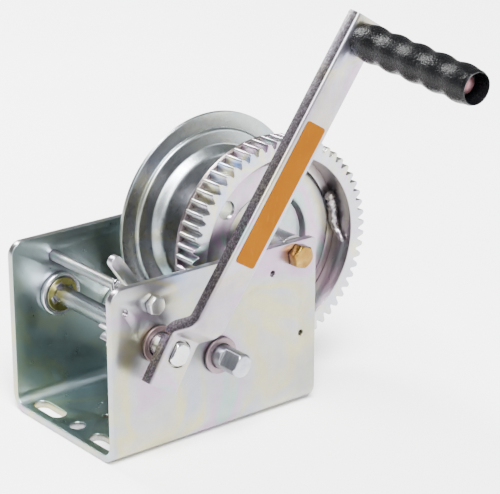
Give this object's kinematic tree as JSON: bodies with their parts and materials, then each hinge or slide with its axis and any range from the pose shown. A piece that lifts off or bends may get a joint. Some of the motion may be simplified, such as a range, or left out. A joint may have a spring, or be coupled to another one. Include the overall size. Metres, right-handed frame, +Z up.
{
  "type": "boat trailer winch",
  "caption": "Hand-cranked two-speed boat trailer winch: bent plate frame, geared rope reel, drive shafts, ratchet pawl and a removable crank with a turning grip.",
  "frame": {"origin": "middle of the underside of the frame's base", "axes": "+Z up, X along the channel towards the reel, Y along the shafts, the crank on the -Y side"},
  "size_m": [0.2238, 0.2903, 0.2816],
  "materials": {
    "base_frame": "zinc plated, clear passivated, light rainbow tint",
    "front_bushing_a": "dull sintered bronze",
    "front_bushing_b": "dull sintered bronze",
    "rear_bushing_a": "zinc plated, clear passivated, light rainbow tint",
    "rear_bushing_b": "zinc plated, clear passivated, light rainbow tint",
    "reel_axle_bolt": "zinc plated, yellow passivated",
    "reel_axle_washer": "zinc plated, yellow passivated",
    "reel_axle_nut": "zinc plated, yellow passivated",
    "axle_sleeve": "zinc plated, clear passivated, light rainbow tint",
    "front_axle_spacer": "zinc plated, clear passivated, light rainbow tint",
    "rear_axle_spacer": "zinc plated, clear passivated, light rainbow tint",
    "pawl_rod": "zinc plated, clear passivated, light rainbow tint",
    "pawl_rod_nut": "zinc plated, clear passivated, light rainbow tint",
    "pawl_clip_front": "bright turned steel",
    "pawl_clip_rear": "bright turned steel",
    "pawl_spring": "bright turned steel",
    "reel_gear_side_flange": "zinc plated, clear passivated, light rainbow tint",
    "reel_rear_flange": "zinc plated, clear passivated, light rainbow tint",
    "reel_drum": "zinc plated, clear passivated, light rainbow tint",
    "ring_gear": "zinc plated, clear passivated, light rainbow tint",
    "ring_weld_bead": "as welded, plated over",
    "reel_front_bushing": "dull sintered bronze",
    "reel_rear_bushing": "dull sintered bronze",
    "drive_shaft_a": "bright turned steel",
    "long_pinion_a": "zinc plated, yellow passivated",
    "push_retainer_a": "zinc plated, yellow passivated",
    "rear_snap_ring_a": "bright turned steel",
    "drive_shaft_b": "bright turned steel",
    "transfer_gear_b": "zinc plated, clear passivated, light rainbow tint",
    "pinion_b": "zinc plated, yellow passivated",
    "push_retainer_b": "zinc plated, yellow passivated",
    "rear_snap_ring_b": "bright turned steel",
    "crank_arm": "zinc plated, clear passivated, light rainbow tint",
    "crank_label": "amber printed film, left blank",
    "grip_bolt": "dark red-brown, speckled",
    "grip_nut": "bright turned steel",
    "crank_grip": "charcoal, grained",
    "pawl": "zinc plated, clear passivated, light rainbow tint"
  },
  "bodies": {
    "frame": {"base_frame": "base_frame", "front_bushing_a": "front_bushing_a", "front_bushing_b": "front_bushing_b", "rear_bushing_a": "rear_bushing_a", "rear_bushing_b": "rear_bushing_b", "reel_axle_bolt": "reel_axle_bolt", "reel_axle_washer": "reel_axle_washer", "reel_axle_nut": "reel_axle_nut", "axle_sleeve": "axle_sleeve", "front_axle_spacer": "front_axle_spacer", "rear_axle_spacer": "rear_axle_spacer", "pawl_rod": "pawl_rod", "pawl_rod_nut": "pawl_rod_nut", "pawl_clip_front": "pawl_clip_front", "pawl_clip_rear": "pawl_clip_rear", "pawl_spring": "pawl_spring"},
    "reel": {"reel_gear_side_flange": "reel_gear_side_flange", "reel_rear_flange": "reel_rear_flange", "reel_drum": "reel_drum", "ring_gear": "ring_gear", "ring_weld_bead": "ring_weld_bead", "reel_front_bushing": "reel_front_bushing", "reel_rear_bushing": "reel_rear_bushing"},
    "shaft_a": {"drive_shaft_a": "drive_shaft_a", "long_pinion_a": "long_pinion_a", "push_retainer_a": "push_retainer_a", "rear_snap_ring_a": "rear_snap_ring_a"},
    "shaft_b": {"drive_shaft_b": "drive_shaft_b", "transfer_gear_b": "transfer_gear_b", "pinion_b": "pinion_b", "push_retainer_b": "push_retainer_b", "rear_snap_ring_b": "rear_snap_ring_b"},
    "crank": {"crank_arm": "crank_arm", "crank_label": "crank_label", "grip_bolt": "grip_bolt", "grip_nut": "grip_nut"},
    "grip": {"crank_grip": "crank_grip"},
    "pawl": {"pawl": "pawl"}
  },
  "joints": [
    {"name": "shaft_a_spin", "type": "hinge", "parent": "frame", "child": "shaft_a", "pos_m": [-0.047, 0, 0.076], "axis": [0, -1, 0], "continuous": true},
    {"name": "shaft_b_spin", "type": "hinge", "parent": "frame", "child": "shaft_b", "pos_m": [0.0016, 0, 0.0551], "axis": [0, -1, 0], "continuous": true},
    {"name": "reel_spin", "type": "hinge", "parent": "frame", "child": "reel", "pos_m": [0.0664, 0, 0.1087], "axis": [0, -1, 0], "continuous": true},
    {"name": "crank_pull", "type": "slide", "parent": "shaft_a", "child": "crank", "axis": [0, -1, 0], "range_m": [0, 0.007]},
    {"name": "grip_spin", "type": "hinge", "parent": "crank", "child": "grip", "pos_m": [0.0679, -0.11469, 0.2635], "axis": [-0.0455, -0.9962, -0.0743], "continuous": true},
    {"name": "pawl_swing", "type": "hinge", "parent": "frame", "child": "pawl", "pos_m": [-0.05, 0, 0.103], "axis": [0, -1, 0], "range_deg": [-30, 8]}
  ],
  "couplings": [
    {"joint": "shaft_b_spin", "follows": "shaft_a_spin", "ratio": -0.375},
    {"joint": "reel_spin", "follows": "shaft_a_spin", "ratio": 0.0625}
  ]
}
